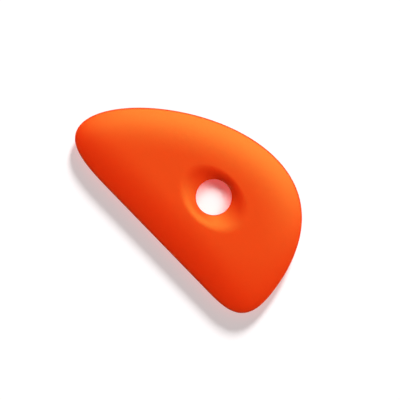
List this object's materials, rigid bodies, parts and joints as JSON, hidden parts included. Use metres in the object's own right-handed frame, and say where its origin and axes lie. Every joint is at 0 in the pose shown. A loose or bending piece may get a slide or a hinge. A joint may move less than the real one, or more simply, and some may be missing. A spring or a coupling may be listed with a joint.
{
  "type": "pottery rib",
  "caption": "Half-moon finishing rib of soft silicone, thick in the middle and thin all round, with a finger hole in an oval dish on each face.",
  "frame": {"origin": "centre of the finger hole, on the plane halfway through the thickness", "axes": "+X along the straight edge towards the blunt heel, +Y towards the curved back, +Z out of one face, along the finger hole"},
  "size_m": [0.108, 0.06, 0.0076],
  "materials": {
    "silicone": "soft matte orange silicone, slightly translucent"
  },
  "bodies": {
    "root": {"rib_body": "silicone"}
  },
  "joints": []
}
